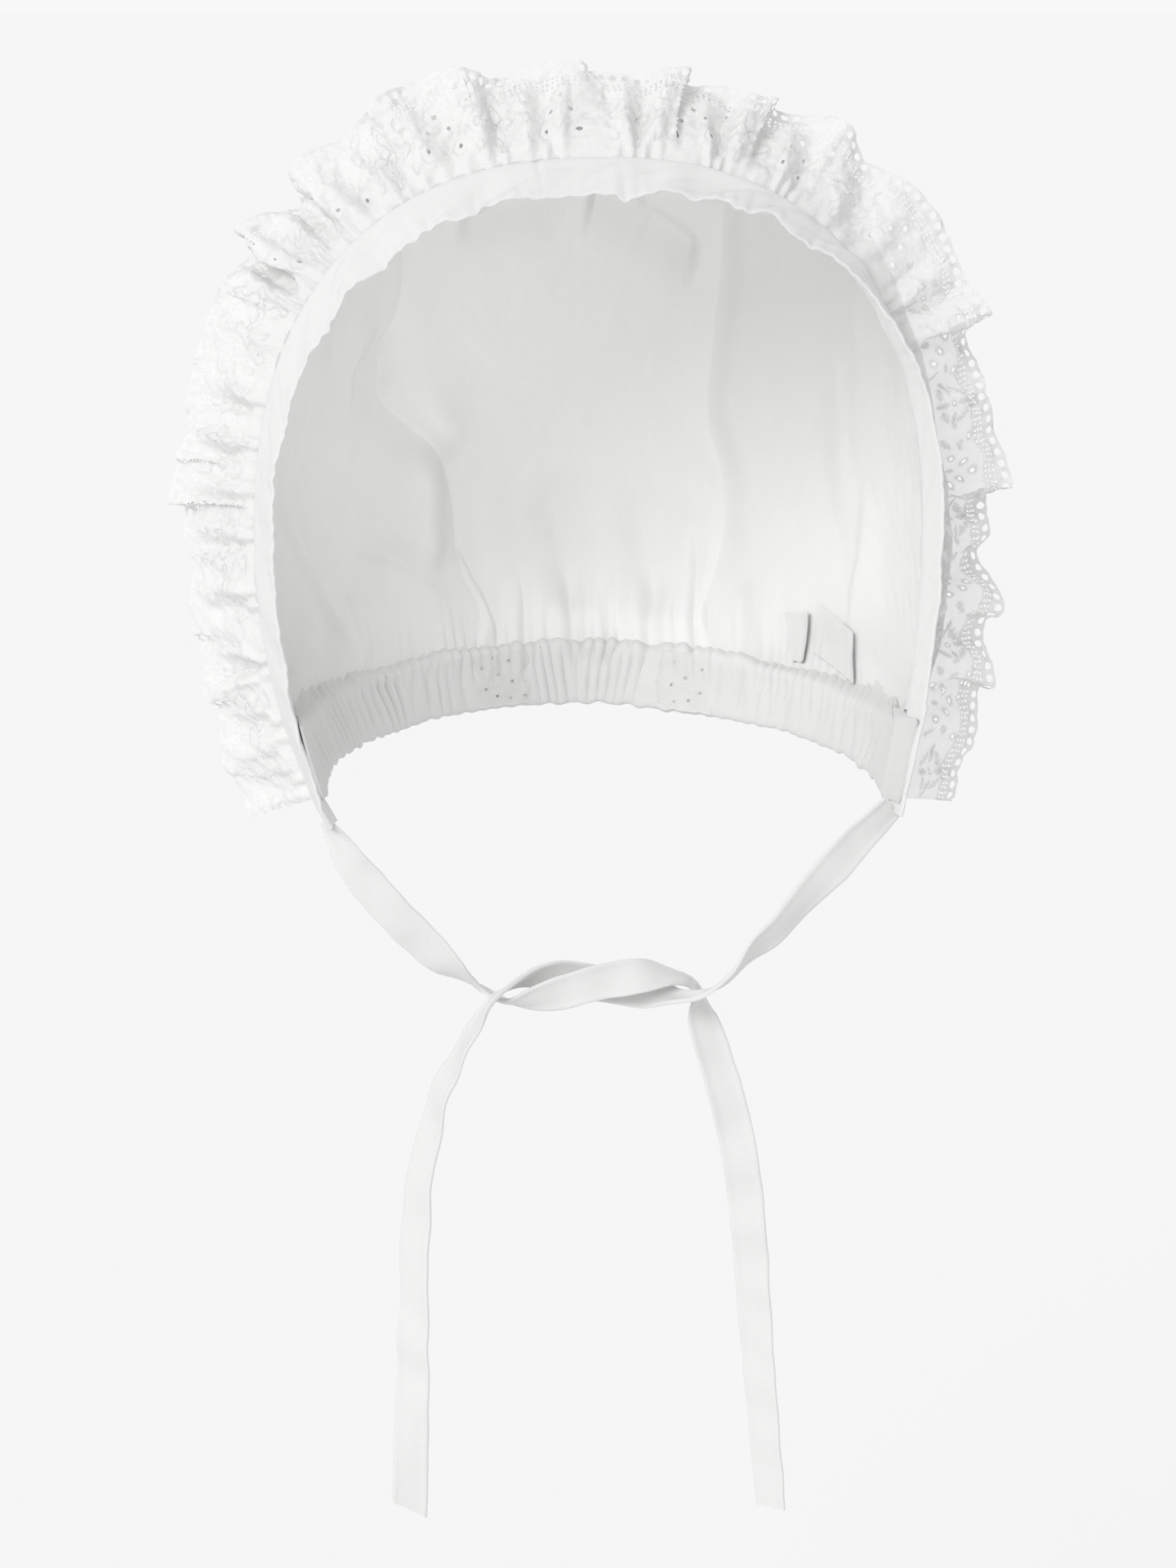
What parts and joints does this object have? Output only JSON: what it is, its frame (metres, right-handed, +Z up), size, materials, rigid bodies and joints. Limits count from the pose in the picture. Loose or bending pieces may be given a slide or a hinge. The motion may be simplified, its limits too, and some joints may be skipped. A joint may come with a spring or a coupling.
{
  "type": "baby bonnet",
  "caption": "Cotton baby bonnet with a gathered eyelet frill round the face, a panelled crown, an elastic nape casing and two tape ties in a half knot.",
  "frame": {"origin": "on the lining under the top of the crown, where the head holds the bonnet up", "axes": "+Z up, the face opening looks along -Y, +X to the right as seen from the front of the bonnet"},
  "size_m": [0.1901, 0.1268, 0.3246],
  "materials": {
    "cotton": "matt plain-weave cotton, lined with the same",
    "cotton_band": "matt cotton folded double, with rows of stitching and soft puckers",
    "eyelet_lace": "sheer cotton with satin-stitched eyelets and a picot edge",
    "tape": "soft matt cotton, edge-stitched",
    "label": "smooth woven tape, bare"
  },
  "bodies": {
    "root": {"crown_panel": "cotton", "side_panel_left": "cotton", "side_panel_right": "cotton", "front_band": "cotton_band", "nape_band": "cotton_band", "face_frill": "eyelet_lace", "seam_lace_left": "eyelet_lace", "seam_lace_right": "eyelet_lace", "tie_left": "tape", "tie_right": "tape", "size_tag": "label", "neck_label": "label"}
  },
  "joints": []
}
